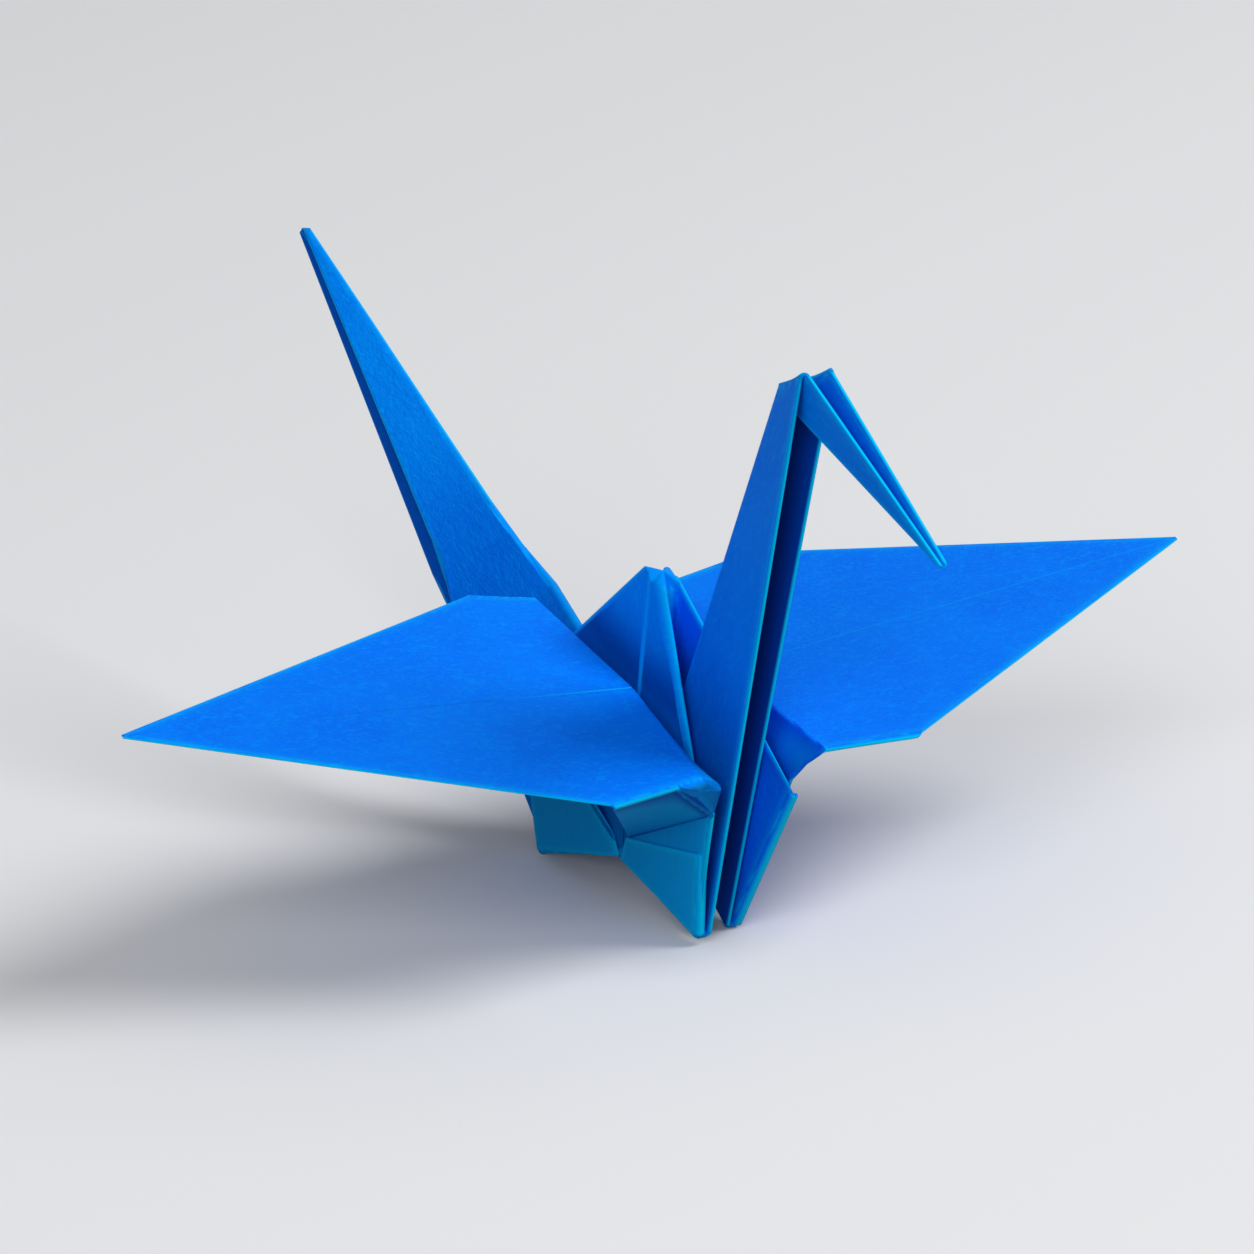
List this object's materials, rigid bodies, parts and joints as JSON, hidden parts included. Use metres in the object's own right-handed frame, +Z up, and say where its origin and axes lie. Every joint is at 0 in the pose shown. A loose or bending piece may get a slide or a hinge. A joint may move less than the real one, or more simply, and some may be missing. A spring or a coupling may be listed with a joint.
{
  "type": "origami crane",
  "caption": "Folded paper crane with spread wings, a long upright neck with a bent beak, a raised tail and a peaked back; it stands on its folded feet.",
  "frame": {"origin": "middle of the part's outline on the floor, under the body, at the level of the folded feet", "axes": "+Z up, -Y towards the head, X along the wings"},
  "size_m": [0.1228, 0.1252, 0.0646],
  "materials": {
    "paper": "matte fibrous paper, one deep blue on both faces"
  },
  "bodies": {
    "root": {"folded_sheet": "paper"}
  },
  "joints": []
}
